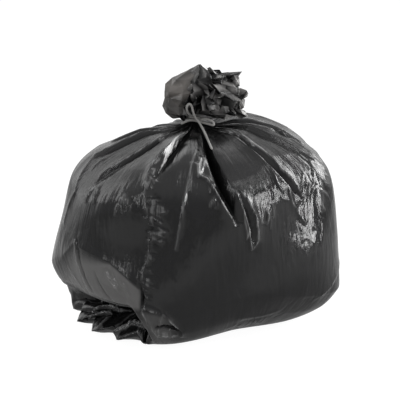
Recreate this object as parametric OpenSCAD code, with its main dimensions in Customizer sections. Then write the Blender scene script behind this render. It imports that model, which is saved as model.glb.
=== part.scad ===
// A filled bin bag of thin black film, gathered at the neck and tied with a string.
// Millimetres, +Z up. The bag stands on z = 0 and its front looks along -Y.
// Directions round the bag are azimuths in degrees: 0 is right, 90 back, 180 left, 270 front.

/* [Filled body] */
// Length of the filled bag along its long side
long_side = 380; // [350:2:400]
// Length of the filled bag along its short side
short_side = 292; // [270:2:310]
// Turn of the long side away from the front, in degrees
side_turn = 33; // [28:1:38]
// Squareness of the corners, from 3 for nearly an oval to 5 for nearly a box
squareness = 4; // [3:0.5:5]
// Height at which the sides are widest
belly_height = 62; // [56:1:70]
// Height at which the sides turn in to the top
shoulder_height = 206; // [190:1:216]
// Height of the lumps that the contents press into the film
lump = 2.5; // [0:0.5:4]

/* [Neck and ruffle] */
// Height of the tie above the floor
tie_height = 292; // [284:1:304]
// Thickness of the gathered neck inside the string
neck_d = 18; // [16:1:22]
// Width of the ruffle of spare film above the tie
ruffle_width = 112; // [100:2:124]
// Depth of the ruffle from front to back
ruffle_depth = 66; // [56:2:76]
// Height of the ruffle above the tie
ruffle_height = 72; // [64:1:80]

/* [Tucked corner] */
// How far the film is tucked in under the left corner
tuck_depth = 74; // [50:2:80]
// Height of the crease above the tucked corner
tuck_height = 88; // [80:1:96]

/* [String] */
// Thickness of the string
string_d = 3.2; // [2.6:0.1:3.8]
// Turns that the string takes round the neck
turns = 2; // [1:1:3]

/* [Hidden] */
film = [0.16, 0.16, 0.17];
twine = [0.66, 0.65, 0.62];

// Steps round the bag
around = 108;
step = 360 / around;
// Radius of the neck, and the clearance between it and the string and between the string's turns
neck_r = neck_d / 2;
string_gap = 0.3;
// Rise of the string in one turn, and half the length of neck that it needs
coil_rise = string_d + string_gap;
neck_half = turns * coil_rise / 2 + string_d / 2 + 1;

// The sides at each azimuth: reach of the flat rest, reach and height of the belly, reach and
// height of the shoulder, and height of the crown, as shares of the footprint and millimetres
// above or below the named heights
SIDES = [[33, 0.60, 1.00, 4, 0.94, 22, 6], [70, 0.60, 0.98, -6, 0.92, 12, 8],
    [123, 0.72, 0.98, 0, 0.86, 0, -5], [176, 0.60, 0.98, 0, 0.82, 8, -9], [213, 0.66, 0.98, 0, 0.89, -4, -10],
    [252, 0.58, 0.86, -6, 0.84, -4, -10], [303, 0.38, 0.98, 16, 0.93, 0, -8], [356, 0.44, 1.00, -4, 0.93, 8, -2]];

// The pleats that run from the neck: azimuth at the start, azimuth at the tip, start and reach
// in millimetres down the film from the neck, depth and half width
PLEATS = [[278, 292.5, 0, 202, 14, 10], [293, 304, 145, 236, 7, 8], [317, 333, 8, 198, 9, 9], [341, 349, 14, 147, 4, 8],
    [260, 248, 0, 158, 9, 9], [244, 210, 0, 178, 7, 9], [226, 190, 0, 148, 7, 8], [206, 178, 0, 120, 6, 8],
    [154, 155, 0, 126, 6, 8], [126, 115, 0, 196, 10, 10], [96, 103, 0, 170, 8, 9], [78, 70, 0, 186, 9, 9],
    [58, 59, 0, 134, 6, 8], [46, 27, 0, 190, 9, 10], [20, 6, 0, 162, 6, 9]];

// The ruffle at each azimuth, as shares of its half width and of its height: the lower lip,
// the rim and the brow, each as reach and height, then how strongly the film is crumpled
RUFFLE = [[0, 0.88, -0.10, 0.92, 0.31, 0.86, 0.77, 0.20], [50, 0.82, -0.08, 0.94, 0.36, 0.74, 0.80, 0.24],
    [90, 0.80, -0.06, 0.98, 0.36, 0.64, 0.78, 0.20], [140, 0.68, -0.08, 0.90, 0.38, 0.68, 0.76, 0.08],
    [180, 0.60, -0.11, 0.92, 0.36, 0.74, 0.74, 0.02], [212, 0.60, -0.11, 0.92, 0.35, 0.74, 0.72, 0.04],
    [246, 0.46, 0.03, 0.60, 0.30, 0.66, 0.69, 0.06], [274, 0.62, 0.01, 0.94, 0.27, 0.76, 0.67, 0.24],
    [322, 0.84, -0.09, 1.0, 0.25, 0.82, 0.67, 0.28]];

// Eases from 0 to 1 without a corner
function ease(x) = let (c = min(max(x, 0), 1)) c * c * (3 - 2 * c);
// Folds a number into a zigzag between -1 and 1, with a period of 2
function zigzag(x) = 2 * abs(x - 2 * floor(x / 2) - 1) - 1;
// Shortest way round from one azimuth to another
function turn_to(a, b) = (b - a + 540) % 360 - 180;
// Point on a smooth line through the keys, at place t
function curved(a, b, c, d, t) = 0.5 * (2 * b + (c - a) * t + (2 * a - 5 * b + 4 * c - d) * t * t
    + (3 * b - a - 3 * c + d) * t * t * t);
function mix(a, b, c, d, t, taut) = (1 - taut) * curved(a, b, c, d, t) + taut * (b + (c - b) * t);
function on_line(keys, t, taut) = let (last = len(keys) - 1, i = min(floor(t), last - 1))
    mix(keys[max(i - 1, 0)], keys[i], keys[i + 1], keys[min(i + 2, last)], t - i, taut);
// Values of a table of azimuths, eased between its rows
function row_before(table, a) = let (hits = [for (k = [0 : len(table) - 1]) if (table[k][0] <= a) k])
    len(hits) > 0 ? max(hits) : len(table) - 1;
function at(table, a) = let (i = row_before(table, a), j = (i + 1) % len(table),
    gone = (a - table[i][0] + 360) % 360, whole = (table[j][0] - table[i][0] + 360) % 360)
    table[i] + (table[j] - table[i]) * ease(gone / whole);

// Radius of the footprint
function foot(a) = pow(pow(abs(cos(a - side_turn)) / (long_side / 2), squareness)
    + pow(abs(sin(a - side_turn)) / (short_side / 2), squareness), -1 / squareness);
// How far the film is tucked at an azimuth, from 0 to 1: slack at the left, pinched at the near corner
tuck_from = 160;
tuck_to = 248;
function tuck_share(a) = min(max((a - tuck_from) / (tuck_to - tuck_from), 0), 1);
function tucked(a) = ease((a - tuck_from) / 22) * (1 - ease((a - tuck_to + 8) / 10));
// Points of the loose film that lie folded under the tucked corner
fold_pitch = 17;
function fold_tip(a) = tucked(a) * zigzag(2 * (a - tuck_from) / fold_pitch);

// How straight the film is drawn between the keys of a meridian: most at the left end
function tautness(a) = 0.12 + 0.16 * pow(cos(a), 2) - 0.18 * min(cos(a), 0);
// Rise of the crease above the tucked corner towards its peak
crease_peak = 30;
function peak(a) = ease(1 - abs(a - 208) / 28);

// Bulge of the front between the belly and the shoulder
bulge = 4;

// The meridian of the body at an azimuth, from the edge of its flat rest to the neck
function meridian(a) = let (r = foot(a), s = at(SIDES, a), w = tucked(a), share = tuck_share(a), tip = fold_tip(a),
    rest = s[1] * r, belly = s[2] * r, belly_z = belly_height + s[3],
    brow = s[4] * r, brow_z = shoulder_height + s[5], crown_z = tie_height - neck_half - 6 + s[6],
    heel = [rest + (belly - rest) * sin(30), belly_z * (1 - cos(30))],
    tuck = [rest + (belly - rest) * sin(55), belly_z * (1 - cos(55))],
    hem = [rest + (belly - rest) * sin(76), belly_z * (1 - cos(76))],
    crease_z = belly_z + w * (tuck_height + crease_peak * peak(a) - belly_z))
    [[rest, 0],
    heel + w * ([(0.87 - 0.16 * share + 0.05 * ease(1 - abs(share - 0.6) / 0.25)) * r + tip * 8,
        18 - 8 * share - tip * 5] - heel),
    tuck + w * ([belly - tuck_depth * ease(1.8 * share), tuck_height - 50 + 8 * share] - tuck),
    hem + w * ([belly - 12, tuck_height - 30 + 8 * share] - hem),
    [belly, crease_z],
    [0.55 * belly + 0.45 * brow + bulge * ease(1 - abs(a - 282) / 60), (crease_z + brow_z) / 2],
    [brow, brow_z],
    [0.80 * brow, brow_z + 0.56 * (crown_z - brow_z)],
    [0.44 * brow, crown_z],
    [neck_r + 15, tie_height - neck_half - 7],
    [neck_r, tie_height - neck_half]];
MERIDIAN_PARTS = [2, 3, 3, 2, 4, 4, 4, 5, 5, 3];
MERIDIAN_STEPS = [0, for (k = [0 : len(MERIDIAN_PARTS) - 1]) for (i = [1 : MERIDIAN_PARTS[k]])
    k + i / MERIDIAN_PARTS[k]];

// A pleat across its width: a groove between two ridges
function groove(x) = 0.45 * (exp(-pow((x - 1.7) / 0.8, 2)) + exp(-pow((x + 1.7) / 0.8, 2))) - exp(-x * x);
// Height of one pleat at an azimuth, at a radius and a way down the film from the neck
function pleat(p, a, r, way) = way < p[2] || way > p[3] ? 0 : let (share = (way - p[2]) / (p[3] - p[2]),
    off = turn_to(p[0] + (p[1] - p[0]) * share, a) * PI / 180 * r,
    half = p[5] * (0.4 + 0.6 * sin(180 * pow(share, 0.8))))
    p[4] * pow(max(sin(180 * pow(share, 0.7)), 0), 0.7) * groove(off / half);
// Fine gathers close to the neck
gathers = 27;
function gather(a, way) = 2.4 * ease(way / 14) * (1 - ease((way - 20) / 60)) * zigzag(2 * gathers * a / 360);
// Lumps of the contents behind the film
function lumps(a, z) = lump * (sin(3 * a + 1.3 * z) + sin(5 * a - 1.9 * z + 40)) * ease(z / 60);
function relief(a, r, z, way) = gather(a, way) + lumps(a, z) * ease(way / 160)
    + [for (p = PLEATS) pleat(p, a, r, way)] * [for (p = PLEATS) 1];

// One line of the body from its flat rest to the neck, with pleats, gathers and lumps raised on it
function body_line(a) = let (keys = meridian(a), flat = [for (t = MERIDIAN_STEPS) on_line(keys, t, tautness(a))],
    n = len(flat),
    way = [for (i = n - 1, w = 0; i >= 0; i = i - 1, w = i < 0 ? 0 : w + norm(flat[i + 1] - flat[i])) w])
    [for (i = [0 : n - 1]) i == 0 || i == n - 1 ? flat[i]
    : let (t = flat[i + 1] - flat[i - 1], out = [t[1], -t[0]] / norm(t))
    flat[i] + out * relief(a, flat[i][0], flat[i][1], way[n - 1 - i])];

// One line of the ruffle from the neck to its top
function ruffle_line(a) = let (s = at(RUFFLE, a), half = 1 / sqrt(pow(cos(a) / (ruffle_width / 2), 2)
    + pow(sin(a) / (ruffle_depth / 2), 2)))
    [[neck_r, neck_half], [neck_r + 3, neck_half + 2], [s[1] * half, s[2] * ruffle_height + neck_half],
    [s[3] * half, s[4] * ruffle_height], [s[5] * half, s[6] * ruffle_height], [2, ruffle_height]];
RUFFLE_PARTS = [1, 3, 3, 3, 3];
RUFFLE_STEPS = [0, for (k = [0 : len(RUFFLE_PARTS) - 1]) for (i = [1 : RUFFLE_PARTS[k]])
    k + i / RUFFLE_PARTS[k]];
// The ruffle leans to the right of the neck, and its top is left of its middle
function lean(share) = 14 * ease(share * 2.5) - 7 * ease((share - 0.55) / 0.45);
// Sharp creases in the crumpled film: pleats out from the neck, crossed by slanting folds
crumples = 11;
function crumple(a, t) = (0.7 * zigzag(2 * crumples * a / 360 + 0.6 * t) + 0.5 * zigzag(10 * a / 360 - 1.7 * t))
    * ease((t - 1) / 1.2) * ease((5.2 - t) / 1.2);
// The open mouth of the film, a hollow in the top of the ruffle right of its peak
mouth_depth = 14;
function mouth(a, t) = mouth_depth * ease(1 - abs(turn_to(5, a)) / 75) * ease(1 - abs(t - 4.6) / 0.6);

function ring_point(a, r, x, z) = [x + r * cos(a), r * sin(a), z];
BODY_LINES = [for (i = [0 : around - 1]) body_line(i * step)];
BODY_RINGS = [for (k = [0 : len(MERIDIAN_STEPS) - 1]) [for (i = [0 : around - 1])
    ring_point(i * step, BODY_LINES[i][k][0], 0, BODY_LINES[i][k][1])]];
RUFFLE_RINGS = [for (t = RUFFLE_STEPS) [for (i = [0 : around - 1]) let (a = i * step,
    p = on_line(ruffle_line(a), t, 0), c = at(RUFFLE, a)[7] * crumple(a, t))
    ring_point(a, p[0] * (1 + c), lean((p[1] - neck_half) / ruffle_height), tie_height + p[1] + 12 * c - mouth(a, t))]];
BAG_RINGS = concat(BODY_RINGS, RUFFLE_RINGS);
// Moves a piece so that the origin is on the floor under the middle of the bag's box
function middle(rings, k) = let (values = [for (r = rings) for (p = r) p[k]]) (max(values) + min(values)) / 2;
SEAT = [-middle(BAG_RINGS, 0), -middle(BAG_RINGS, 1), 0];

// A closed skin over rings of points, capped at both ends
module skin(rings) {
    n = len(rings[0]);
    last = len(rings) - 1;
    middle = [for (end = [rings[0], rings[last]]) [for (p = end) 1] * end / n];
    sides = [for (k = [0 : last - 1]) for (i = [0 : n - 1]) let (j = (i + 1) % n, a = k * n, b = a + n)
        for (f = [[a + i, b + i, b + j], [a + i, b + j, a + j]]) f];
    caps = [for (i = [0 : n - 1]) let (j = (i + 1) % n)
        for (f = [[i, j, (last + 1) * n], [last * n + j, last * n + i, (last + 1) * n + 1]]) f];
    polyhedron(points = concat([for (r = rings) for (p = r) p], middle), faces = concat(sides, caps));
}

// The string's route, from the end of its long tail on the bag's front to the end of its short tail.
// Places are from the middle of the neck at the tie.
LONG_TAIL = [[23, -85, -30.5], [18.5, -68, -23], [14, -51, -15.5], [9.5, -36, -9], [5, -25, -3]];
BOW = [[0, -21, 3], [-2.5, -29.5, 11], [-4.5, -30, 19], [-8, -32, 22], [-11, -30, 18], [-10, -25, 10], [-5, -18, 3]];
CURL = [[5, -15, -3], [11, -20, -1], [18, -26, 0], [25, -31, -3], [25, -34, -6.6], [18, -29, -5.8], [9, -21, -5]];
SHORT_TAIL = [[2, -16, -4], [-6, -17, -3], [-13, -17, -5], [-19.5, -17, -8]];
coil_r = neck_r + string_d / 2 + string_gap;
turn_steps = 18;
COIL = [for (i = [0 : turns * turn_steps]) let (a = 250 + 360 * i / turn_steps)
    [coil_r * cos(a), coil_r * sin(a), coil_rise * (turns / 2 - i / turn_steps)]];
ROUTE = concat(LONG_TAIL, BOW, COIL, CURL, SHORT_TAIL);

// A round tube of a given thickness along a route
module tube(route, d, sides = 8) {
    n = len(route);
    ways = [for (i = [0 : n - 1]) let (w = route[min(i + 1, n - 1)] - route[max(i - 1, 0)]) w / norm(w)];
    first = cross(ways[0], [1, 0, 0]);
    across = [for (i = 0, u = first / norm(first); i < n;
        i = i + 1, u = i < n ? let (v = u - (u * ways[i]) * ways[i]) v / norm(v) : u) u];
    skin([for (i = [0 : n - 1]) [for (k = [0 : sides - 1]) let (a = 360 * k / sides)
        route[i] + d / 2 * (cos(a) * across[i] + sin(a) * cross(ways[i], across[i]))]]);
}

module bag() {
    color(film) translate(SEAT) skin(BAG_RINGS);
}

module tie_string() {
    color(twine) translate(SEAT + [0, 0, tie_height]) tube(ROUTE, string_d);
}

bag();
tie_string();
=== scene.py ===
import math

import bmesh
import bpy
import numpy as np
from bpy.props import FloatProperty, FloatVectorProperty, PointerProperty
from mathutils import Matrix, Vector


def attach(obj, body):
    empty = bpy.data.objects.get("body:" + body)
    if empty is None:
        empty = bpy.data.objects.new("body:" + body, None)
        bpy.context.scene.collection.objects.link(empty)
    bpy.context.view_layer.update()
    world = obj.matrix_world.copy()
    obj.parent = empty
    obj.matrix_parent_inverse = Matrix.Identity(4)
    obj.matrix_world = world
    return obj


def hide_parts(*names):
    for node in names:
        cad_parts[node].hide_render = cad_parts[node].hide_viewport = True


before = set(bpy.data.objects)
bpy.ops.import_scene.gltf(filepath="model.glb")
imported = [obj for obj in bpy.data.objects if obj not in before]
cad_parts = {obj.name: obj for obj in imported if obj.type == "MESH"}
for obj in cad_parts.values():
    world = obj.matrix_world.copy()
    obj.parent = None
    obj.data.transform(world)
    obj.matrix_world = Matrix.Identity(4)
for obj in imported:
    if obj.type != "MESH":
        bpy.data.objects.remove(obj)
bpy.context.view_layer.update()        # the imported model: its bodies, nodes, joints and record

bl_info = {
    "name": "Filled bin bag",
    "version": (1, 0, 0),
    "blender": (4, 5, 0),
    "location": "3D View > Sidebar > Bin Bag",
    "description": "Dresses a filled, tied bag of glossy black film",
    "category": "Add Mesh",
}

# Film places are in millimetres, with azimuths in degrees as in the part's source:
# 0 is right, 90 back, 180 left and 270 the front
MM = 0.001
LONG_SIDE = 380.0
SHORT_SIDE = 292.0
SIDE_TURN = 33.0
SQUARENESS = 4.0
BELLY_HEIGHT = 62.0
SHOULDER_HEIGHT = 206.0
TIE_HEIGHT = 292.0
NECK_R = 9.0
RUFFLE_WIDTH = 112.0
RUFFLE_DEPTH = 66.0
RUFFLE_HEIGHT = 72.0
STRING_D = 3.2
STRING_GAP = 0.3
TURNS = 2
COIL_RISE = STRING_D + STRING_GAP
NECK_HALF = TURNS * COIL_RISE / 2 + STRING_D / 2 + 1
NECK_FOOT = TIE_HEIGHT - NECK_HALF
TUCK_DEPTH = 74.0
TUCK_HEIGHT = 88.0
CREASE_PEAK = 30.0
PEAK_AZIMUTH = 208.0
BULGE_AZIMUTH = 282.0
TUCK_FROM = 160.0
TUCK_TO = 248.0
FOLD_PITCH = 17.0

# At each azimuth: reach of the flat rest, reach and height of the belly, reach and height of
# the shoulder, and height of the crown. A reach is a share of the footprint's radius, and a
# height is in millimetres from the usual one
SIDES = [[33, 0.60, 1.00, 4, 0.94, 22, 6], [70, 0.60, 0.98, -6, 0.92, 12, 8],
         [123, 0.72, 0.98, 0, 0.86, 0, -5], [176, 0.60, 0.98, 0, 0.82, 8, -9],
         [213, 0.66, 0.98, 0, 0.89, -4, -10], [252, 0.58, 0.86, -6, 0.84, -4, -10],
         [303, 0.38, 0.98, 16, 0.93, 0, -8], [356, 0.44, 1.00, -4, 0.93, 8, -2]]
# The ruffle at each azimuth: lower lip, rim and brow, each as reach and height, as shares of its size
RUFFLE = [[0, 0.88, -0.10, 0.92, 0.31, 0.86, 0.77], [50, 0.82, -0.08, 0.94, 0.36, 0.74, 0.80],
          [90, 0.80, -0.06, 0.98, 0.36, 0.64, 0.78], [140, 0.68, -0.08, 0.90, 0.38, 0.68, 0.76],
          [180, 0.60, -0.11, 0.92, 0.36, 0.74, 0.74], [212, 0.60, -0.11, 0.92, 0.35, 0.74, 0.72],
          [246, 0.46, 0.03, 0.60, 0.30, 0.66, 0.69], [274, 0.62, 0.01, 0.94, 0.27, 0.76, 0.67],
          [322, 0.84, -0.09, 1.0, 0.25, 0.82, 0.67]]

# Upper edge of the slack panel: azimuths and ways down the film from the neck
PANEL_EDGE = [(189.5, 310), (198, 291), (206.5, 269), (211.5, 255), (224, 264), (232.5, 271), (240, 286),
              (246, 299)]
# Creases of the film. Each is a height, the widths of its left and right flanks, and the places
# it runs through, each an azimuth and a way down the film from the neck
CREASES = [
    # The deep fold at the front, its jagged left edge and its right rim
    (-16, 3.5, 8, [(279, 7), (283.5, 34), (282, 80), (283.5, 117), (286, 148), (289, 169), (293, 195)]),
    (5, 6, 3, [(272, 108), (272.5, 129), (277.5, 133), (281, 148), (284, 162), (288, 178), (293, 194)]),
    (5, 5, 9, [(285, 9), (287.5, 52), (287, 96), (290, 134), (292.5, 150), (294.5, 167), (294.5, 189)]),
    # Its twin on the right, a narrow leaf
    (4, 4, 2.2, [(292, 146), (295, 167), (298.5, 191), (301, 216), (302.5, 231)]),
    (4.5, 2.2, 6, [(294, 146), (300, 166), (303, 183), (305.5, 204), (306, 219), (303, 231)]),
    (-4, 3, 3, [(294.5, 155), (298.5, 179), (301.5, 202), (303, 221)]),
    (1.4, 2, 2, [(295, 168), (297, 191), (299, 214)]),
    # The long fold to the right, with an edge on each side
    (-9, 2.6, 2.6, [(316, 14), (323.5, 65), (322.5, 91), (322.5, 117), (324.5, 140), (327.5, 156),
                    (331, 177), (335, 196)]),
    (5, 8, 3, [(312.5, 12), (320.5, 62), (318.5, 89), (320, 112), (322.5, 137), (325, 154), (334.5, 199)]),
    (5, 2.6, 7, [(320, 16), (327.5, 64), (326, 93), (327, 115), (327.5, 139), (331, 158), (336, 198)]),
    (1.6, 3, 3, [(326.5, 159), (328.5, 188), (333, 216), (336, 232)]),
    (2.0, 2.4, 3.6, [(320.5, 132), (320.5, 153), (323.5, 169)]),
    # Ridges over the right shoulder
    (4.5, 4, 9, [(346.5, 15), (349.5, 57), (349.5, 94), (351.5, 119), (352, 144), (353.5, 167),
                 (357.5, 199)]),
    (-3, 4, 4, [(341, 15), (343.5, 54), (344, 87), (347.5, 119), (348.5, 147)]),
    (3.2, 3, 7, [(356, 17), (361, 73), (370.5, 117), (362.5, 145), (359, 181)]),
    (-2.4, 3, 3, [(354.5, 47), (360.5, 92), (359.5, 131), (356, 160)]),
    # Pleats to the left of the front, each with a dark side and a light one
    (-9, 3, 8, [(261, 2), (257.5, 32), (254.5, 60), (252, 95), (250.5, 125), (249.5, 153)]),
    (6, 6, 2.6, [(257.5, 2), (253.5, 31), (251.5, 55), (249, 84), (247, 108), (245, 127), (245, 143),
                 (246, 156), (247, 177)]),
    (-5.5, 3, 3, [(245.5, 3), (237, 31), (233.5, 53), (229, 87), (223.5, 115), (220.5, 130),
                  (215.5, 146), (213, 160), (211, 176)]),
    (4, 8, 3, [(241, 3), (234, 31), (230.5, 53), (226, 87), (220.5, 115), (217.5, 130), (212.5, 146),
               (210.5, 160)]),
    (-3, 2, 3, [(224.5, 129), (219, 148), (214.5, 163), (212.5, 177)]),
    (-5.5, 3, 3.5, [(229, 3), (214.5, 34), (200, 57), (197.5, 89), (196.5, 117), (194, 142)]),
    (4.5, 8, 3, [(224, 3), (209.5, 34), (195, 57), (193.5, 88), (193, 115), (191, 141)]),
    (-4, 3, 3, [(213, 3), (192.5, 38), (185, 74), (185, 112)]),
    (4, 8, 3, [(207, 3), (186.5, 37), (182, 73), (182.5, 112)]),
    (1.8, 2.5, 4, [(200.5, 128), (200, 142), (199.5, 158)]),
    (3, 9, 5, [(191, 134), (195, 164), (200.5, 193), (198, 216), (197, 243)]),
    (2.4, 1.6, 3.0, [(272.5, 81), (268, 114), (265.5, 158), (264.5, 176), (263, 203), (261, 238)]),
    (3.6, 3, 1.8, [(275, 94), (273, 118), (272, 134)]),
    (2.4, 1.8, 2.6, [(279.5, 87), (275, 117), (272.5, 134)]),
    (2.4, 3, 4, [(210.5, 170), (217, 176), (220, 197)]),
    (2.0, 2.4, 2.4, [(211, 172), (213.5, 185), (213.5, 199)]),
    # The crinkled crease down to the pinched corner
    (1.8, 3, 3, [(247, 172), (249.5, 201), (250.5, 231), (250, 248), (249.5, 263), (247.5, 282),
                 (246.5, 303)]),
    (-5, 2.4, 2.4, [(246.5, 292), (247.5, 310), (247, 332)]),
    # Edge and creases of the slack panel over the tucked corner
    (1.6, 3.2, 5, PANEL_EDGE),
    (-3.2, 1.2, 1.6, [(213, 247), (214.5, 265), (215.5, 281), (217, 300), (221, 321)]),
    (1.6, 2.4, 1.4, [(211.8, 249), (213.2, 265), (214.2, 281), (215.8, 300)]),
    (-2.2, 1.2, 2, [(224, 284), (226, 300), (230, 316), (234, 326)]),
    (1.4, 1.8, 1.4, [(230, 280), (233, 296), (238, 312)]),
    (-1.6, 1.2, 2, [(234, 284), (237, 300), (241, 316)]),
    (1.4, 1.6, 1.6, [(239, 296), (241.5, 308), (244, 320)]),
    (1.3, 2, 2, [(204, 290), (209, 308), (213, 326)]),
    # Folds of the foot, which run out from the pinched corner to the tips
    (-12, 3.5, 3.5, [(179, 376), (188, 384), (195, 388), (203, 396), (214, 397), (229, 397)]),
    (4.5, 2, 4, [(190, 413), (198, 405), (205, 402), (215, 402)]),
    (-10, 3, 3, [(186, 402), (194, 409), (200, 413), (209, 411), (218, 405), (229, 401)]),
    (5, 2, 4, [(197, 431), (203, 419), (209, 410), (219, 403)]),
    (-9, 3, 3, [(195, 434), (201, 429), (207, 422), (216, 415)]),
    (5, 2, 2.4, [(213, 456), (213, 438), (212, 424), (205, 415)]),
    (-9, 2.6, 2.6, [(220, 448), (222.5, 430), (225, 412), (230, 399)]),
    (4.5, 2, 3.4, [(222, 446), (231, 424), (238, 428), (243, 434)]),
    (-8, 2.6, 2.6, [(238, 396), (242, 414), (244, 440)]),
    # Facets and a dimple on the near corner
    (3.4, 2.0, 3, [(247.5, 325), (251.5, 326), (256, 326)]),
    (3.2, 2.0, 3, [(256, 326), (255, 338), (253.5, 354)]),
    (-7, 2.0, 3, [(252, 350), (256, 345), (260, 346), (264, 351)]),
    (3.8, 1.6, 3, [(252.5, 359), (257, 358), (262, 355)]),
    (3.2, 1.7, 4, [(256, 326), (260, 336), (264, 350), (263, 362)]),
    (4, 1.8, 2.4, [(247, 326), (249.5, 338), (251, 348), (253.5, 366)]),
    # Soft creases low on the right
    (0.7, 4, 4, [(332.5, 219), (333, 252)]), (0.6, 4, 4, [(340, 251), (337, 291)]),
    (0.6, 4, 4, [(315.5, 221), (317.5, 261)]), (0.6, 5, 5, [(345.5, 244), (342, 282)]),
    (1.4, 4, 4, [(293.5, 328), (304, 331), (315, 335), (326, 338)]),
    (-1.4, 4, 4, [(299, 337), (311.5, 341), (323, 345)]),
    (1.6, 3, 5, [(340, 350), (347.5, 349), (355, 341)]),
    # Pleats round the back
    (-9, 3, 6, [(126, 2), (124, 50), (120, 110), (116, 150), (115, 196)]),
    (5, 7, 3, [(121, 2), (119.5, 50), (115.5, 110), (112, 150), (112, 190)]),
    (5, 3, 7, [(131, 2), (128, 50), (124, 110), (120, 150), (118, 190)]),
    (-7, 3, 5, [(96, 4), (98, 60), (101, 120), (103, 168)]),
    (4.5, 3, 8, [(100, 4), (102, 60), (105, 120), (106.5, 166)]),
    (-7, 3, 3, [(78, 4), (76, 60), (72, 120), (70, 184)]),
    (4.5, 7, 3, [(74, 4), (72, 60), (68.5, 120), (67.5, 180)]),
    (4, 3, 7, [(82, 4), (80, 60), (75.5, 120), (72.5, 180)]),
    (-7, 3, 5, [(46, 4), (40, 60), (32, 130), (27, 188)]),
    (5, 7, 3, [(42, 4), (36, 60), (28, 130), (24, 184)]),
    (-5, 3, 3, [(58, 4), (58, 70), (59, 132)]), (4, 3, 7, [(62, 4), (62, 70), (62, 130)]),
    (-5, 3, 4, [(154, 4), (154, 60), (155, 124)]), (4, 7, 3, [(150, 4), (150.5, 60), (152, 122)]),
    (-5, 3, 3, [(20, 4), (14, 60), (8, 120), (6, 160)]), (4, 3, 7, [(24, 4), (18, 60), (11, 120), (9, 158)]),
    (3, 3, 6, [(140, 60), (138, 120), (136, 176), (137, 240)]),
    (2.4, 3, 6, [(88, 130), (90, 180), (89, 240)]),
    (2.0, 2, 4, [(110, 200), (112, 240), (111, 290)]), (1.8, 2, 3, [(52, 150), (50, 200), (52, 262)]),
    (1.8, 2, 3, [(14, 170), (16, 220), (15, 270)]), (1.6, 2, 3, [(146, 190), (148, 240), (150, 280)]),
]
# Patches of short wrinkles: middle and spread of azimuth and of way, number, length, heading
# (0 runs down the film, 90 across it), spread of heading, height and width
PATCHES = [(236, 8, 180, 7, 10, 21, 10, 12, 1.5, 1.62), (249, 2.2, 190, 12, 16, 15, 96, 26, 1.9, 1.5),
           (249.3, 2.2, 214, 16, 18, 15, 96, 26, 1.9, 1.5), (249.4, 0.9, 252, 30, 18, 8, 90, 40, 1.3, 1.3),
           (247.4, 1.6, 288, 14, 10, 10, 60, 50, 1.3, 1.4), (315.5, 6, 177, 14, 18, 22, 4, 10, 0.98, 1.5),
           (343, 6, 170, 16, 16, 30, -8, 10, 1.5, 1.75), (360.5, 4, 160, 26, 10, 32, -4, 8, 1.23, 1.88),
           (305, 3, 188, 14, 9, 22, 6, 8, 1.15, 1.62), (282.5, 4, 154, 12, 8, 12, -30, 25, 1.33, 1.62),
           (246, 2, 145, 14, 9, 12, 60, 35, 1.76, 1.75), (339.5, 10, 266, 22, 9, 38, 8, 8, 0.35, 3),
           (348, 9, 184, 16, 12, 42, -4, 6, 1.06, 2), (215, 5, 179, 8, 7, 14, 10, 30, 1.5, 1.75),
           (115, 7, 204, 14, 14, 25, 0, 14, 1.33, 1.88), (70, 7, 190, 14, 14, 25, 0, 14, 1.33, 1.88),
           (26, 6, 194, 14, 12, 25, 0, 14, 1.33, 1.88), (150, 6, 190, 30, 15, 20, 60, 30, 1.33, 2.12),
           (90, 6, 236, 34, 16, 20, 70, 30, 1.33, 2.12), (140, 30, 280, 30, 12, 35, 10, 24, 0.7, 3),
           (60, 36, 280, 30, 12, 35, 10, 24, 0.7, 3), (251, 7, 349, 12, 8, 15, 40, 60, 1.33, 2),
           (307, 30, 347, 10, 10, 20, 80, 14, 0.88, 2.5), (30, 60, 352, 14, 16, 20, 80, 14, 0.88, 2.5),
           (120, 40, 352, 14, 14, 20, 80, 14, 0.88, 2.5)]
# Gathers at the neck, coarse ones that carry the pleats and fine ones between them: number round
# the neck, lowest and highest reach, lowest and highest height, and width in degrees
GATHERS = [(24, 50, 120, 1.6, 3.4, 2.4), (58, 24, 90, 0.4, 1.3, 1.3)]
# The radius at which lengths of wrinkles are turned into degrees, and the one on which streaks lie
WRINKLE_R = 150.0
STREAK_R = 180.0
# Folds with a flank narrower than this get a painted glint along their top, in a line this wide to each side
GLINT_WIDTH = 3.1
GLINT_HALF = 0.8
# Rings of film in each part of the outline, from the flat rest up to the neck, rings across
# the flat rest and up the neck, and steps round the bag, which are closest at the front
FILM_PARTS = [8, 20, 16, 24, 60, 62, 46, 44, 30, 16]
REST_RINGS = 6
NECK_RINGS = 3
AROUND = 900
SHOULDER_PASSES = 90
# Random draws: the film, the crumpled ruffle with its facets and painted glints, painted glints along all
# edges, the ruffle's leaves, and the flap with its facets
FILM_SEED = 7
RUFFLE_SEED = 11
FACET_SEED = 12
GLINT_SEED = 31
EDGE_SEED = 1
LEAF_SEED = 23
FLAP_SEED = 5
FLAP_FACET_SEED = 6


def ease(x):
    """Eases from 0 to 1 without a corner."""
    x = np.clip(x, 0.0, 1.0)
    return x * x * (3.0 - 2.0 * x)


def hump(x, width):
    """1 at 0, which eases to 0 at a width to each side."""
    return ease(1 - np.abs(x) / width)


def zigzag(x):
    """Folds a number into a zigzag between -1 and 1, with a period of 2."""
    return 2.0 * np.abs(x - 2.0 * np.floor(x / 2.0) - 1.0) - 1.0


def turn_to(a, b):
    """The shortest way round from one azimuth to another."""
    return (b - a + 540.0) % 360.0 - 180.0


def table_at(table, a):
    """The values of a table of azimuths, eased between its rows."""
    rows = np.array(table, float)
    i = np.searchsorted(rows[:, 0], a, side="right") - 1
    j = (i + 1) % len(rows)
    gone, whole = (a - rows[i, 0]) % 360.0, (rows[j, 0] - rows[i, 0]) % 360.0
    return rows[i] + (rows[j] - rows[i]) * ease(gone / whole)[:, None]


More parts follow.
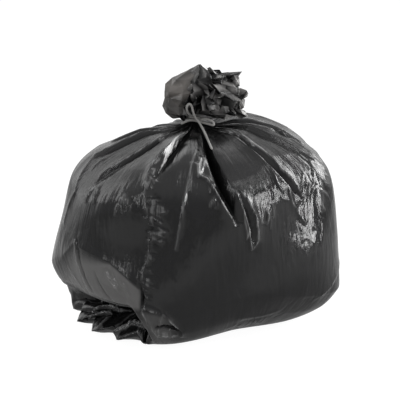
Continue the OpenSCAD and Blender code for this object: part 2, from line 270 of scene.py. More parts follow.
def curved(a, b, c, d, f):
    """The point at share f of the way from b to c on a smooth line through a, b, c and d."""
    square, cube = (2 * a - 5 * b + 4 * c - d) * f ** 2, (3 * b - a - 3 * c + d) * f ** 3
    return 0.5 * (2 * b + (c - a) * f + square + cube)


def on_line(keys, t, taut):
    """Points at places t on the lines through keys, which is (lines, keys, 2).
    How straight each line is drawn is taut, from 0 to 1."""
    last = keys.shape[1] - 1
    i = np.minimum(np.floor(t).astype(int), last - 1)
    f = (t - i)[None, :, None]
    a, b, c, d = (keys[:, np.clip(i + k, 0, last)] for k in (-1, 0, 1, 2))
    smooth = curved(a, b, c, d, f)
    taut = np.broadcast_to(taut, smooth.shape[:2])[..., None]
    return (1 - taut) * smooth + taut * (b + (c - b) * f)


def key_points(a, keys):
    """Key points, each a reach and a height, at every azimuth, as (azimuths, keys, 2)."""
    return np.stack([np.stack([value + 0 * a for value in key], 1) for key in keys], 1)


def places_in(parts):
    """Places on a line, where each stretch between two keys is cut into its number of parts."""
    return np.concatenate([[0.0]] + [k + np.arange(1, n + 1) / n for k, n in enumerate(parts)])


def ringed(a, flat):
    """Turns outlines at azimuths into rings of points."""
    turn = np.radians(a)[:, None]
    return np.stack([flat[..., 0] * np.cos(turn), flat[..., 0] * np.sin(turn), flat[..., 1]], 2)


def ended(values, before=1, after=1):
    """Values of rings, which are (around, rings, ...), repeated for rings at both ends, with rings first."""
    ends = [(0, 0), (before, after)] + [(0, 0)] * (values.ndim - 2)
    return np.pad(values, ends, mode="edge").swapaxes(0, 1)


def strengths(rng, low, high, shape):
    """Seeded strengths from 0 to 1, of which many are 0 where low is far below 0."""
    return np.clip(rng.uniform(low, high, shape), 0, 1)


def footprint(a):
    """The radius of the bag's rounded, turned rectangle."""
    turn = np.radians(a - SIDE_TURN)
    return ((np.abs(np.cos(turn)) / (LONG_SIDE / 2)) ** SQUARENESS
            + (np.abs(np.sin(turn)) / (SHORT_SIDE / 2)) ** SQUARENESS) ** (-1 / SQUARENESS)


def slackness(a):
    """How loose the film hangs at the tucked corner, from 0 to 1."""
    return ease((a - TUCK_FROM) / 22) * (1 - ease((a - TUCK_TO + 8) / 10))


def meridians(a):
    """The key points of the body's outline at each azimuth, from the flat rest to the neck."""
    r, s = footprint(a), table_at(SIDES, a)
    share = np.clip((a - TUCK_FROM) / (TUCK_TO - TUCK_FROM), 0, 1)
    w = slackness(a)
    tip = w * zigzag(2 * (a - TUCK_FROM) / FOLD_PITCH)
    rest, belly, belly_z = s[:, 1] * r, s[:, 2] * r, BELLY_HEIGHT + s[:, 3]
    brow, brow_z, crown_z = s[:, 4] * r, SHOULDER_HEIGHT + s[:, 5], NECK_FOOT - 6 + s[:, 6]

    def tuck(angle, out, up):
        """A point on the round foot, or on the tucked corner where the film is slack."""
        angle = math.radians(angle)
        arc_r, arc_z = rest + (belly - rest) * math.sin(angle), belly_z * (1 - math.cos(angle))
        return arc_r + w * (out - arc_r), arc_z + w * (up - arc_z)

    crease_z = belly_z + w * (TUCK_HEIGHT + CREASE_PEAK * hump(a - PEAK_AZIMUTH, 28) - belly_z)
    heel = 0.87 - 0.16 * share + 0.05 * hump(share - 0.6, 0.25)
    bulge = 4 * hump(a - BULGE_AZIMUTH, 60)
    return key_points(a, [
        (rest, 0),
        tuck(30, heel * r + tip * 8, 18 - 8 * share - tip * 5),
        tuck(55, belly - TUCK_DEPTH * ease(1.8 * share), TUCK_HEIGHT - 50 + 8 * share),
        tuck(76, belly - 12, TUCK_HEIGHT - 30 + 8 * share),
        (belly, crease_z),
        (0.55 * belly + 0.45 * brow + bulge, (crease_z + brow_z) / 2),
        (brow, brow_z),
        (0.80 * brow, brow_z + 0.56 * (crown_z - brow_z)),
        (0.44 * brow, crown_z),
        (NECK_R + 15, NECK_FOOT - 7),
        (NECK_R, NECK_FOOT)])


def film_azimuths():
    """Azimuths round the bag, closest at the front."""
    turn = np.arange(AROUND) / AROUND * 2 * np.pi
    return np.degrees(turn - 0.34 * np.cos(turn) + 0.34) % 360.0


def flat_film(a):
    """The smooth film at azimuths: places in each outline, ways down from the neck, and outward turns."""
    steps = places_in(FILM_PARTS)
    right = np.cos(np.radians(a))
    taut = (0.12 + 0.16 * right ** 2 - 0.18 * np.minimum(right, 0))[:, None]
    taut = taut + 0.45 * slackness(a)[:, None] * (steps < 3.2)[None, :]
    flat = on_line(meridians(a), steps, taut)
    # The shoulder has no corner
    round_off = (0.5 * hump(steps - 6, 0.5))[None, 1:-1, None]
    for _ in range(SHOULDER_PASSES):
        flat[:, 1:-1] += round_off * (0.5 * flat[:, :-2] + 0.5 * flat[:, 2:] - flat[:, 1:-1])
    links = np.linalg.norm(np.diff(flat, axis=1), axis=2)
    way = np.concatenate([np.cumsum(links[:, ::-1], 1)[:, ::-1], np.zeros((len(a), 1))], 1)
    run = np.gradient(flat, axis=1)
    out = np.stack([run[..., 1], -run[..., 0]], 2) / np.linalg.norm(run, axis=2)[..., None]
    return flat, way, out


def radius_at(a, r, way, place):
    """The film's radius at one azimuth and way."""
    i = int(np.argmin(np.abs(turn_to(place[0], a))))
    return r[i, int(np.argmin(np.abs(way[i] - place[1])))]


def add_crease(relief, a, r, way, height, left, right, places):
    """Adds one crease to the film's relief: a sharp ridge or valley that fades at both ends."""
    line = np.array(places, float)
    links, scales = [], []
    for p, q in zip(line[:-1], line[1:]):
        turn, down = turn_to(p[0], q[0]), q[1] - p[1]
        scales.append(math.radians(1) * radius_at(a, r, way, (p + q) / 2))
        links.append((p, turn, down, math.hypot(turn * scales[-1], down)))
    # Only the film near the crease changes
    reach = 4 * max(left, right)
    middle = line[:, 0].mean()
    wide = np.abs(line[:, 0] - middle).max() + reach / min(scales)
    i = np.nonzero(np.abs(turn_to(middle, a)) < wide)[0]
    inside = (way[i] > line[:, 1].min() - reach) & (way[i] < line[:, 1].max() + reach)
    k = np.nonzero(inside.any(0))[0]
    if len(k) == 0:
        return
    here = np.ix_(i, k)
    local_way, scale = way[here], math.radians(1) * r[here]
    near = np.full(local_way.shape, np.inf)
    gone, side = np.zeros_like(near), np.zeros_like(near)
    before = 0.0
    for p, turn, down, length in links:
        x, y, across = turn_to(p[0], a[i])[:, None] * scale, local_way - p[1], turn * scale
        along = np.clip((x * across + y * down) / (across ** 2 + down ** 2), 0, 1)
        off = np.hypot(x - along * across, y - along * down)
        closer = off < near
        near = np.where(closer, off, near)
        gone = np.where(closer, before + along * length, gone)
        side = np.where(closer, x * down - y * across, side)
        before += length
    fade = np.clip(np.sin(np.pi * np.clip(gone / before, 0, 1)), 0, 1) ** 0.55
    # Close to the neck the creases run together, finer and lower
    slim = np.clip(local_way / 70, 0.3, 1)
    flank = slim * np.where(side > 0, right, left)
    relief[here] += height * slim * fade * np.exp(-(near / flank) ** 1.2)


def wrinkles(rng):
    """The short wrinkles of all the patches, as creases with a kink or two."""
    made = []
    for mid_a, wide, mid_way, tall, count, length, heading, spread, height, width in PATCHES:
        for _ in range(count):
            a, way = mid_a + wide * rng.normal() * 0.6, mid_way + tall * rng.normal() * 0.6
            turn = math.radians(heading + spread * rng.uniform(-1, 1))
            step = length * rng.uniform(0.4, 1.5) / 3
            places = [(a, way)]
            for _ in range(3):
                turn += rng.normal() * 0.35
                a, way = a + math.degrees(step * math.sin(turn) / WRINKLE_R), way + step * math.cos(turn)
                places.append((a, way))
            w = width * rng.uniform(0.6, 1.3)
            tall_now = height * rng.uniform(0.3, 1.2) * (-0.6 if rng.random() < 0.25 else 1)
            made.append((tall_now, w, w * rng.uniform(0.8, 2.6), places))
    return made


def gathers(a, way, rng):
    """Gathers that fan out from the neck."""
    total = np.zeros_like(way)
    for count, near, far, low, high, width in GATHERS:
        for k in range(count):
            middle = 360.0 * (k + rng.uniform(-0.35, 0.35)) / count
            reach, tall = rng.uniform(near, far), rng.uniform(low, high)
            half = width * rng.uniform(0.8, 1.5)
            off = turn_to(middle + rng.uniform(-5, 5) * way / reach, a[:, None]) / half
            total += tall * ease((way + 4) / 16) * (1 - ease(way / reach)) * np.exp(-np.abs(off) ** 1.2)
    return total - total.mean(0)


LUMP_HEIGHT = 2.5
LUMPS_FROM = 60.0


def lumps(a, z):
    """The soft bulges of the contents behind the film."""
    rise = np.radians(a)[:, None]
    swell = np.sin(3 * rise + np.radians(1.3 * z)) + np.sin(5 * rise - np.radians(1.9 * z) + 0.7)
    return LUMP_HEIGHT * swell * ease(z / LUMPS_FROM)


def crumple(points, rng, count, pitch):
    """A crumpled surface's height at points: zigzag folds in many directions, which leave flat facets."""
    total = np.zeros(points.shape[:-1])
    for _ in range(count):
        heading = rng.normal(size=3)
        x = points @ (heading / np.linalg.norm(heading)) / (pitch * rng.uniform(0.6, 1.6)) + rng.uniform(0, 9)
        fold = zigzag(x + 0.3 * np.sin(1.7 * x + rng.uniform(0, 6)))
        total += rng.uniform(0.5, 1.0) * fold
    return total / math.sqrt(count)


def film_folds(a, flat, way):
    """The film's relief, its painted glints on crests, the hollows of its creases, and its painted shade in
    all hollows.
    """
    rng = np.random.default_rng(FILM_SEED)
    r, z = flat[..., 0], flat[..., 1]
    gather = gathers(a, way, rng)
    relief = gather + lumps(a, z) * ease(way / 160)
    crest, hollow, fine = (np.zeros_like(relief) for _ in range(3))
    for height, left, right, places in CREASES:
        add_crease(relief, a, r, way, height, left, right, places)
        # Narrow crests get a painted glint, and deep creases painted shade in their hollows
        if min(left, right) < GLINT_WIDTH and height > 1:
            add_crease(crest, a, r, way, height / 4, GLINT_HALF, GLINT_HALF, places)
        if height < -2:
            add_crease(hollow, a, r, way, min(1, -height / 6), 0.7 * left, 0.7 * right, places)
    for height, left, right, places in wrinkles(rng):
        add_crease(fine, a, r, way, height, left, right, places)
    relief += fine
    points = ringed(a, flat)
    full = ease((z - 4) / 10) * ease((way - 60) / 80)
    relief += (0.35 * crumple(points, rng, 9, 26.0) + 0.8 * crumple(points, rng, 5, 90.0)) * full
    loose = slackness(a)[:, None] * ease((64 - z) / 14) * ease(z / 3)
    relief += loose * (2.2 * crumple(points, rng, 6, 34.0) + 0.7 * crumple(points, rng, 5, 13.0))
    relief *= ease(z / 6) * ease(way / 5)
    # Painted glints on the crests of fine wrinkles
    crest += 0.26 * np.clip(fine / 1.1 - 0.35, 0, 1)
    # Painted shade between the gathers near the neck and in the hollows of fine wrinkles and creases
    between = np.clip(-gather / 1.6, 0, 1) * (1 - ease(way / 90))
    shade = hollow + (0.7 * between + 0.5 * np.clip(-fine / 0.8, 0, 1))
    return relief, crest, hollow, shade


def painted_slack_light(a, way):
    """Where the film is painted paler as painted light, from 0 to 1: the slack single layer over the
    tucked corner, for the light it lets through and the pale floor it reflects, down to its hem, and the foot
    beside it."""
    top, soft = (np.interp(a, *line)[:, None] for line in (np.array(PANEL_EDGE).T, ((200, 232), (46, 5))))
    panel = ((a > 180) & (a < 248))[:, None] * ease((way - top) / soft) * (1 - ease((way - 324) / 8))
    beside = 0.5 * hump(a - 253, 11)[:, None] * ease((way - 326) / 8)
    return np.clip(panel + beside, 0, 1)


def film_rings():
    """Rings of points over the whole body, in millimetres from the neck's foot, and for each point its
    share of painted paleness, its painted glint less its painted shade, and its place on the film."""
    a = film_azimuths()
    flat, way, out = flat_film(a)
    relief, crest, hollow, shade = film_folds(a, flat, way)
    rings = ringed(a, flat + out * relief[..., None])
    rest = rings[:, :1] * np.linspace(0, 1, REST_RINGS, endpoint=False)[None, :, None]
    neck = np.repeat(rings[:, -1:], NECK_RINGS, 1)
    neck[:, :, 2] += np.array([1.0, 2.0, 2.0]) * NECK_HALF
    neck[:, 2, :2] = 0.0
    # Painted light: the slack panel is painted paler, but not in the hollows of creases
    slack = painted_slack_light(a, way) * (1 - ease(1.8 * hollow))
    # Painted glints on crests, set against painted shade in hollows
    crest = np.clip(crest * ease(flat[..., 1] / 20) * (1 - 0.85 * slack), 0, 1) - np.clip(shade, 0, 1)
    # The streaks run down the film from the neck
    sheet = ringed(a, np.stack([STREAK_R + 0 * way, way], 2)) * MM
    values = (ended(value, REST_RINGS, NECK_RINGS) for value in (slack, crest, sheet))
    return np.concatenate([rest, rings, neck], 1).swapaxes(0, 1), *values


# Rings of facet corners in each part of the ruffle, from the neck over its lip and rim to its top,
# corners round it, and the parts that each side of a facet is cut into, in the crumpled film and the flap
RUFFLE_PARTS = [1, 2, 3, 3, 2]
RUFFLE_CORNERS = 30
RUFFLE_CUTS = 12
FLAP_CORNERS = 20
FLAP_CUTS = 15
# Where the flap lies, where the crumpled film draws back behind it, and the ruffle's open mouth
FLAP_AZIMUTH = 186.0
BEHIND_FLAP = 185.0
MOUTH_AZIMUTH = 8.0
MOUTH_DEPTH = 14.0
LEAN_RIGHT = 14.0
TOP_LEFT = 7.0
# Single leaves of crumpled film round the ruffle: four corners, each right of the neck, in front of it
# and above the tie, then the facet corners along and across a leaf, and its thickness
LEAVES = [[(43, 8, 58), (61, 9, 60), (59, 8, 44), (42, 12, 42)],
          [(59, 16, 38), (72, 12, 41), (72, 13, 27), (52, 20, 21)],
          [(3, 25, 56), (38, 30, 47), (64, 24, 23), (28, 32, 35)],
          [(12, 27, 15), (42, 28, 16), (59, 24, 6), (24, 28, 7)],
          [(49, 20, 17), (67, 16, 10), (74, 12, 1), (56, 22, 0)],
          [(14, 24, 52), (31, 23, 58), (42, 18, 61), (35, 26, 47)],
          [(14, 14, 71), (21, 15, 66), (42, 12, 58), (19, 22, 49)],
          [(-6, 22, 37), (7, 25, 31), (10, 25, 14), (-2, 22, 20)],
          [(8, 26, 34), (22, 32, 29), (26, 32, 17), (10, 27, 15)],
          [(26, 31, 26), (44, 29, 18), (46, 27, 10), (30, 31, 12)],
          [(40, -2, 55), (60, -7, 48), (62, -8, 31), (47, -5, 36)],
          [(30, -18, 52), (52, -16, 40), (47, -20, 19), (36, -26, 27)],
          [(0, -22, 58), (27, -22, 52), (36, -29, 33), (12, -30, 39)],
          [(-19, -23, 36), (-3, -27, 50), (6, -33, 22), (-9, -31, 10)],
          [(-4, -31, 14), (30, -29, 25), (39, -31, 4), (14, -36, -3)],
          [(52, 0, 30), (71, -4, 20), (66, -6, 4), (55, -4, 9)]]
LEAF_SHAPE = (4, 3)
LEAF_THICK = 0.5


def ruffle_lines(a):
    """The key points of the ruffle's outline at each azimuth, up from the neck."""
    s = table_at(RUFFLE, a)
    turn = np.radians(a)
    half = 1 / np.sqrt((np.cos(turn) / (RUFFLE_WIDTH / 2)) ** 2 + (np.sin(turn) / (RUFFLE_DEPTH / 2)) ** 2)
    return key_points(a, [
        (NECK_R, NECK_HALF),
        (NECK_R + 3, NECK_HALF + 2),
        (s[:, 1] * half, s[:, 2] * RUFFLE_HEIGHT + NECK_HALF),
        (s[:, 3] * half, s[:, 4] * RUFFLE_HEIGHT),
        (s[:, 5] * half, s[:, 6] * RUFFLE_HEIGHT),
        (2, RUFFLE_HEIGHT)])


def leaned(rings, z):
    """Leans the ruffle to the right of the neck, with its top left of its middle."""
    share = (z - NECK_HALF) / RUFFLE_HEIGHT
    rings[..., 0] += LEAN_RIGHT * ease(share * 2.5) - TOP_LEFT * ease((share - 0.55) / 0.45)
    rings[..., 2] += TIE_HEIGHT
    return rings


def with_poles(rings):
    """Closes the ruffle's rings at the foot of the neck, round a point, and at the top, at their middle."""
    low = rings[:, :1].mean(0, keepdims=True) + 0 * rings[:, :1]
    low[..., 2] = NECK_FOOT
    high = rings[:, -1:].mean(0, keepdims=True) + 0 * rings[:, -1:]
    return np.concatenate([low, rings, high], 1).swapaxes(0, 1)


def normals_of(rings):
    """Outward directions of rings of points, which are (around, rings, 3)."""
    round_way = np.roll(rings, -1, 0) - np.roll(rings, 1, 0)
    up_way = np.gradient(rings, axis=1)
    across = np.cross(round_way, up_way)
    return across / np.maximum(np.linalg.norm(across, axis=2), 1e-9)[..., None]


def faceted(corners, parts, seed, closed=True):
    """Flat triangles between corners, which are (around, rings, 3), each side of a cell cut into parts."""
    if closed:
        corners = np.concatenate([corners, corners[:1]])
    n, m = corners.shape[0] - 1, corners.shape[1] - 1
    i, u = np.divmod(np.arange(n * parts + (0 if closed else 1)), parts)
    k, v = np.divmod(np.arange(m * parts + 1), parts)
    i, u = np.where(i == n, n - 1, i), np.where(i == n, parts, u) / parts
    k, v = np.where(k == m, m - 1, k), np.where(k == m, parts, v) / parts
    u, v = u[:, None, None], v[None, :, None]
    a, b = corners[np.ix_(i, k)], corners[np.ix_(i + 1, k)]
    c, d = corners[np.ix_(i + 1, k + 1)], corners[np.ix_(i, k + 1)]
    slant = (np.random.default_rng(seed).random((n, m)) < 0.5)[np.ix_(i, k)][..., None]
    one = np.where(u > v, a + u * (b - a) + v * (c - b), a + v * (d - a) + u * (c - d))
    two = np.where(u + v < 1, a + u * (b - a) + v * (d - a), c + (1 - u) * (d - c) + (1 - v) * (b - c))
    return np.where(slant, one, two)


def over_facets(values, parts, seed, closed=True):
    """Values at corners, spread over the facets between them."""
    return faceted(values[..., None], parts, seed, closed)[..., 0]


def edge_glints(shape, parts, seed, closed=True):
    """Painted glints on the edges between facets, with their own strength at each corner."""
    strength = strengths(np.random.default_rng(seed), -0.7, 1.0, shape)
    strength = over_facets(strength, parts, EDGE_SEED, closed)
    along, up = ((np.arange(count) % parts == 0) for count in strength.shape)
    return strength * np.maximum(along[:, None], up[None, :])


def rosette_rings(settings):
    """The crumpled right part of the ruffle, with pleats out from the neck and sharp facets."""
    rng = np.random.default_rng(RUFFLE_SEED)
    count = RUFFLE_CORNERS
    a = np.sort((np.arange(count) + rng.uniform(-0.3, 0.3, count)) * 360.0 / count % 360.0)
    t = places_in(RUFFLE_PARTS)
    flat = on_line(ruffle_lines(a), t, 0.3)
    body = (ease(t / 1.6) * ease((5.2 - t) / 1.4))[None, :]
    left = np.exp(-(turn_to(BEHIND_FLAP, a) / 46) ** 4)[:, None]
    folds = (np.arange(count) % 2 * 2.0 - 1.0)[:, None] * rng.uniform(0.5, 1.3, (count, 1))
    flat[..., 0] *= (1 - 0.30 * left * body) * (1 - 0.12 * body + 0.17 * folds * body * (1 - 0.7 * left))
    rings = leaned(ringed(a, flat), flat[..., 1])
    rings += settings.crumple / MM * 0.5 * rng.normal(size=rings.shape) * body[..., None] * (1, 1, 0.8)
    mouth = hump(turn_to(MOUTH_AZIMUTH, a), 80)[:, None] * hump(t - 4.6, 0.7)
    rings[..., 2] -= MOUTH_DEPTH * mouth
    # Painted light and shade: some facets are painted paler, as lit single film, and those in the pleats are
    # painted dull, as in shade
    shape = rings.shape[:2]
    pale = strengths(rng, -1.5, 0.9, shape)
    painted_dull = np.where(folds < 0, rng.uniform(-1.6, -0.2, shape), rng.uniform(-0.6, 0.2, shape))
    painted_dull = np.clip(painted_dull, -1, 0) * (body * (1 - left))
    pale, crest = (over_facets(values, RUFFLE_CUTS, FACET_SEED) for values in (pale, painted_dull))
    # Painted glints along the facets' edges
    crest += 0.7 * edge_glints(shape, RUFFLE_CUTS, GLINT_SEED)
    rings = faceted(rings, RUFFLE_CUTS, FACET_SEED)
    rings += normals_of(rings) * 0.35 * crumple(rings, rng, 6, 11.0)[..., None]
    return with_poles(rings), ended(pale), ended(crest)


def leaf_rings(corners, rng, settings):
    """A thin leaf of crumpled film between four corners, as rings round its two sides."""
    p = np.array(corners, float) * (1, -1, 1) + (0, 0, TIE_HEIGHT)
    long, wide = LEAF_SHAPE
    u, v = np.linspace(0, 1, long)[:, None, None], np.linspace(0, 1, wide)[None, :, None]
    across = np.cross(p[1] - p[0], p[3] - p[0])
    across /= np.linalg.norm(across)
    sheet = (1 - v) * ((1 - u) * p[0] + u * p[1]) + v * ((1 - u) * p[3] + u * p[2])
    # Folded zigzag along its length, with edges that look torn
    lift = settings.crumple / MM * rng.uniform(-0.4, 0.4, (long, wide, 1))
    sheet = sheet + across * (lift + 3.0 * (np.arange(long) % 2 * 2 - 1)[:, None, None])
    sheet += rng.normal(size=sheet.shape) * 1.9
    seed = int(rng.integers(1000))
    # Painted light and shade: some facets are painted paler, as lit single film, and others are painted dull,
    # as in shade
    pale, painted_dull = strengths(rng, -1.2, 1.0, LEAF_SHAPE), np.clip(rng.uniform(-2.2, 0.4, LEAF_SHAPE), -1, 0)
    painted_dull = over_facets(painted_dull * (1 - pale), RUFFLE_CUTS, seed, closed=False)
    pale = over_facets(pale, RUFFLE_CUTS, seed, closed=False)
    # Painted glints along the facets' edges, with painted shade on the dull facets
    crest = 0.8 * edge_glints(LEAF_SHAPE, RUFFLE_CUTS, seed, closed=False) + painted_dull
    sheet = faceted(sheet, RUFFLE_CUTS, seed, closed=False)
    sheet += across * 0.2 * crumple(sheet, rng, 6, 7.0)[..., None]
    front, back = sheet + across * LEAF_THICK / 2, sheet - across * LEAF_THICK / 2
    sheet, pale, crest = (np.concatenate([values, values[::-1]]) for values in (sheet, pale, crest))
    rings = np.concatenate([sheet[:, :1], np.concatenate([front, back[::-1]]), sheet[:, -1:]], 1)
    return rings.swapaxes(0, 1), ended(pale), ended(crest)


def flap_rings():
    """The smooth flap of film that is folded over on the left of the ruffle, in a few flat facets."""
    rng = np.random.default_rng(FLAP_SEED)
    a = np.arange(FLAP_CORNERS) * 360.0 / FLAP_CORNERS
    t = places_in(RUFFLE_PARTS)
    flat = on_line(ruffle_lines(a), t, 0.0)
    body = (ease(t / 1.2) * ease((5.1 - t) / 0.8))[None, :]
    near = ease(1.25 - np.abs(turn_to(FLAP_AZIMUTH, a)) / 62)[:, None]
    full = 1 + 0.13 * near * hump(t - 3.6, 0.8)
    flat[..., 0] = flat[..., 0] * (0.16 + 0.84 * near) * (1 - 0.1 * (1 - near) * body) * full
    rings = leaned(ringed(a, flat), flat[..., 1])
    # It is flat, and lies at the front of the ruffle
    rings[..., 1] = 0.55 * rings[..., 1] - 5 * body * near
    rings += np.array((0.7, 2.8, 0.7)) * rng.normal(size=rings.shape) * (body * near)[..., None]
    # Painted light let through the single film: it is painted less where facets lie in folds and where the
    # lower part is doubled, so that they look darker
    pale = over_facets(strengths(rng, -0.1, 1.2, rings.shape[:2]), FLAP_CUTS, FLAP_FACET_SEED)
    rings = faceted(rings, FLAP_CUTS, FLAP_FACET_SEED)
    pale = pale * (0.2 + 0.8 * ease((rings[..., 2] - 300) / 26))
    rings = rings + normals_of(rings) * 0.45 * crumple(rings, rng, 7, 9.0)[..., None]
    return with_poles(rings), ended(pale)

# The string's route from its long end on the bag's front to its short end, in millimetres from the
# middle of the neck at the tie
LONG_TAIL = [(23, -85, -30.5), (18.5, -68, -23), (14, -51, -15.5), (9.5, -36, -9), (5, -25, -3)]
BOW = [(0, -21, 3), (-2.5, -29.5, 11), (-4.5, -30, 19), (-8, -32, 22), (-11, -30, 18), (-10, -25, 10),
       (-5, -18, 3)]
CURL = [(5, -15, -3), (11, -20, -1), (18, -26, 0), (25, -31, -3), (25, -34, -6.6), (18, -29, -5.8),
        (9, -21, -5)]
SHORT_TAIL = [(2, -16, -4), (-6, -17, -3), (-13, -17, -5), (-19.5, -17, -8)]
TURN_STEPS = 18
COIL_START = 250.0
ROUTE_GAP = 0.0008
PLIES = 3
PLY_PITCH = 0.011
PLY_SIDES = 8


def string_route():
    """The middle line of the string, from its short end to its long end, in metres in the frame."""
    r = NECK_R + STRING_D / 2 + STRING_GAP
    coil = []
    for i in range(TURNS * TURN_STEPS + 1):
        a = math.radians(COIL_START + 360 * i / TURN_STEPS)
        coil.append((r * math.cos(a), r * math.sin(a), COIL_RISE * (TURNS / 2 - i / TURN_STEPS)))
    tie = Vector((0, 0, TIE_HEIGHT * MM))
    return [Vector(point) * MM + tie + NECK for point in LONG_TAIL + BOW + coil + CURL + SHORT_TAIL][::-1]


def smooth_path(route, gap):
    """Points a gap apart on a smooth line through a route."""
    points = np.array(route)
    last = len(points) - 1
    dense = []
    for i in range(last):
        keys = [points[min(max(i + k, 0), last)] for k in (-1, 0, 1, 2)]
        dense += [curved(*keys, f) for f in np.linspace(0, 1, 12, endpoint=False)]
    dense = np.array(dense + [points[-1]])
    way = np.concatenate([[0], np.cumsum(np.linalg.norm(np.diff(dense, axis=0), axis=1))])
    places = np.linspace(0, way[-1], int(way[-1] / gap) + 1)
    return np.stack([np.interp(places, way, dense[:, k]) for k in range(3)], 1)


def cross_frames(path):
    """Two directions across a path at each of its points, without twist."""
    ways = np.gradient(path, axis=0)
    ways /= np.linalg.norm(ways, axis=1)[:, None]
    u = np.cross(ways[0], (1.0, 0.0, 0.0))
    us = []
    for w in ways:
        u = u - (u @ w) * w
        u = u / np.linalg.norm(u)
        us.append(u)
    us = np.array(us)
    return us, np.cross(ways, us)


def between(us, vs, turn):
    """Directions turned from us towards vs."""
    return np.cos(turn)[..., None] * us + np.sin(turn)[..., None] * vs


def ply_rings(path, diameter, ply):
    """Rings of one twisted ply of the string, in millimetres from the neck's foot."""
    way = np.arange(len(path)) * np.linalg.norm(np.diff(path, axis=0), axis=1).mean()
    turn = 2 * np.pi * (way / PLY_PITCH + ply / PLIES)
    # The plies lie close together, so that their outsides are as wide as the string
    r_ply = diameter * 0.27
    middle = path + (diameter / 2 - r_ply) * between(*cross_frames(path), turn)
    us, vs = cross_frames(middle)
    end = np.minimum(np.arange(len(path)), np.arange(len(path))[::-1])
    size = r_ply * np.sqrt(np.clip(end / 2.0, 0, 1))
    around = 2 * np.pi * np.arange(PLY_SIDES) / PLY_SIDES
    rings = middle[:, None] + size[:, None, None] * between(us[:, None], vs[:, None], around[None, :])
    return (rings - np.array(NECK)) / MM


def neck_place():
    """Where the middle of the neck stands in the frame, from the CAD bag's own neck."""
    co = np.array([v.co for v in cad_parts["bag"].data.vertices]) / MM
    ring = co[np.abs(co[:, 2] - NECK_FOOT) < 0.02]
    ring = ring[np.linalg.norm(ring - np.median(ring, 0), axis=1) < 1.2 * NECK_R]
    low, high = ring.min(0), ring.max(0)
    return Vector(((low[0] + high[0]) / 2, (low[1] + high[1]) / 2, 0.0)) * MM


NECK = neck_place()


def new_object(name, bm, material):
    """An object of a finished bmesh, which is freed."""
    mesh = bpy.data.meshes.new(name)
    bm.to_mesh(mesh)
    bm.free()
    mesh.materials.append(material)
    made = bpy.data.objects.new(name, mesh)
    bpy.context.scene.collection.objects.link(made)
    return made


def add_piece(name, bm, material, replaced):
    """Makes a smooth piece, hangs it on the root body, and hides the CAD nodes that it stands for."""
    piece = new_object(name, bm, material)
    piece.data.polygons.foreach_set("use_smooth", [True] * len(piece.data.polygons))
    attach(piece, "root")
    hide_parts(*replaced)
    return piece


def grid_shell(rings, slack=0.0, crest=0.0, sheet=None):
    """A skin over rings of points: a grid whose corners are moved to the rings, with its seam merged.
    It keeps its share of painted paleness, its painted glint or painted shade, and its place on the film as
    attributes."""
    count, around = rings.shape[:2]
    slack, crest = (np.broadcast_to(values, (count, around)) for values in (slack, crest))
    sheet = rings * MM if sheet is None else sheet
    bm = bmesh.new()
    bmesh.ops.create_grid(bm, x_segments=around, y_segments=count - 1, size=1.0)
    loose = bm.verts.layers.float.new("slack")
    glint = bm.verts.layers.float.new("crest")
    film = bm.verts.layers.float_vector.new("sheet")
    for v in bm.verts:
        i = round((v.co.x + 1) / 2 * around) % around
        k = round((v.co.y + 1) / 2 * (count - 1))
        v[loose], v[glint], v[film] = slack[k, i], crest[k, i], Vector(sheet[k, i])
        v.co = Vector(rings[k, i]) * MM + NECK
    bmesh.ops.remove_doubles(bm, verts=bm.verts, dist=1e-6)
    bmesh.ops.recalc_face_normals(bm, faces=bm.faces)
    return bm


def joined(meshes):
    """One bmesh of several, which are freed."""
    bm = bmesh.new()
    for part in meshes:
        mesh = bpy.data.meshes.new("part")
        part.to_mesh(mesh)
        part.free()
        bm.from_mesh(mesh)
        bpy.data.meshes.remove(mesh)
    return bm


NODES_IN_ROW = 8
NODE_STEP = 260


def set_inputs(tree, made, **values):
    """Sets a node's properties and inputs by name, or an input by number, as in _0. An input is set to
    a value, or fed by another node's output."""
    for name, value in values.items():
        if hasattr(made, name):
            setattr(made, name, value)
            continue
        socket = made.inputs[int(name[1:]) if name[0] == "_" else name.replace("_", " ")]
        if isinstance(value, bpy.types.NodeSocket):
            tree.links.new(value, socket)
        else:
            socket.default_value = value


def node(tree, kind, **values):
    """Adds a shader node, in rows from the left."""
    row, column = divmod(len(tree.nodes), NODES_IN_ROW)
    made = tree.nodes.new("ShaderNode" + kind)
    made.location = (NODE_STEP * column, -NODE_STEP * row)
    set_inputs(tree, made, **values)
    return made


def maths(tree, operation, first, second=0.0):
    """The result of an operation on one or two numbers."""
    return node(tree, "Math", operation=operation, _0=first, _1=second).outputs[0]


def mapped(tree, value, span, result=(0.0, 1.0), kind="LINEAR"):
    """A number mapped from one span to another."""
    return node(tree, "MapRange", interpolation_type=kind, Value=value, From_Min=span[0], From_Max=span[1],
                To_Min=result[0], To_Max=result[1]).outputs["Result"]


def mixed(tree, share, first, second):
    """A mix of two colours by a share from 0 to 1."""
    first, second = (c if isinstance(c, bpy.types.NodeSocket) else (*c, 1.0) for c in (first, second))
    return node(tree, "Mix", data_type="RGBA", _0=share, _6=first, _7=second).outputs[2]


def mottled(tree, where, scale, detail, **values):
    """Noise from 0 to 1."""
    return node(tree, "TexNoise", Vector=where, Scale=scale, Detail=detail, **values).outputs["Fac"]


def bumped(tree, height, **values):
    """A surface direction, bumped by a height."""
    return node(tree, "Bump", Height=height, **values).outputs["Normal"]


def new_material(name):
    """A material, its tree and its shader."""
    material = bpy.data.materials.new(name)
    material.use_nodes = True
    return material, material.node_tree, material.node_tree.nodes["Principled BSDF"]


FILM_IOR = 1.5


